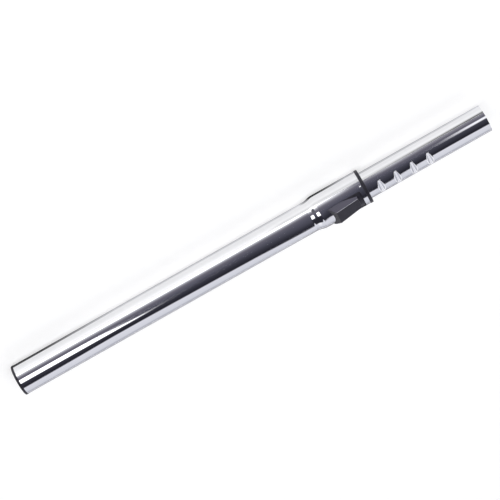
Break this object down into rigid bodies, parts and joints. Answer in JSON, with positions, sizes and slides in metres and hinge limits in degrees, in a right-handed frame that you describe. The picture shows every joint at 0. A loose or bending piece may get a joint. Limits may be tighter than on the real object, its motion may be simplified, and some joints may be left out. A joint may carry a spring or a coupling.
{
  "type": "telescopic vacuum tube",
  "caption": "Chromed telescopic vacuum cleaner tube: a notched inner tube slides in an outer tube and is locked by a thumb slider in its collar.",
  "frame": {"origin": "centre of the outer tube's open end, on the tube axis, at the end ring's front face", "axes": "+X along the tube towards the inner tube's free end, +Z towards the thumb button, which is uppermost as the tube lies"},
  "size_m": [0.598, 0.0408, 0.0446],
  "materials": {
    "chromed_outer_tube": "polished chrome",
    "chromed_inner_tube": "polished chrome",
    "black_ring": "satin moulded plastic",
    "black_slider": "satin moulded plastic",
    "black_button": "satin moulded plastic",
    "bright_steel": "drawn wire and pin",
    "grey_felt": "pressed felt"
  },
  "bodies": {
    "outer": {"outer_tube": "chromed_outer_tube", "end_ring": "black_ring", "guide_bush": "black_ring", "return_spring": "bright_steel"},
    "inner": {"inner_tube": "chromed_inner_tube", "inner_end_bush": "black_ring", "inner_end_seal": "grey_felt"},
    "slider": {"lock_slider": "black_slider", "thumb_button": "black_button"},
    "roller": {"lock_roller": "bright_steel"}
  },
  "joints": [
    {"name": "tube_slide", "type": "slide", "parent": "outer", "child": "inner", "axis": [1, 0, 0], "range_m": [-0.1025, 0.1435]},
    {"name": "button_slide", "type": "slide", "parent": "outer", "child": "slider", "axis": [1, 0, 0], "range_m": [0, 0.005], "stiffness_N_per_m": 600, "springref_m": -0.003, "deforming": ["return_spring"]},
    {"name": "roller_lift", "type": "slide", "parent": "outer", "child": "roller", "axis": [0, 0, 1], "range_m": [0, 0.0035]}
  ],
  "couplings": [
    {"joint": "roller_lift", "follows": "button_slide", "ratio": 0.7}
  ]
}
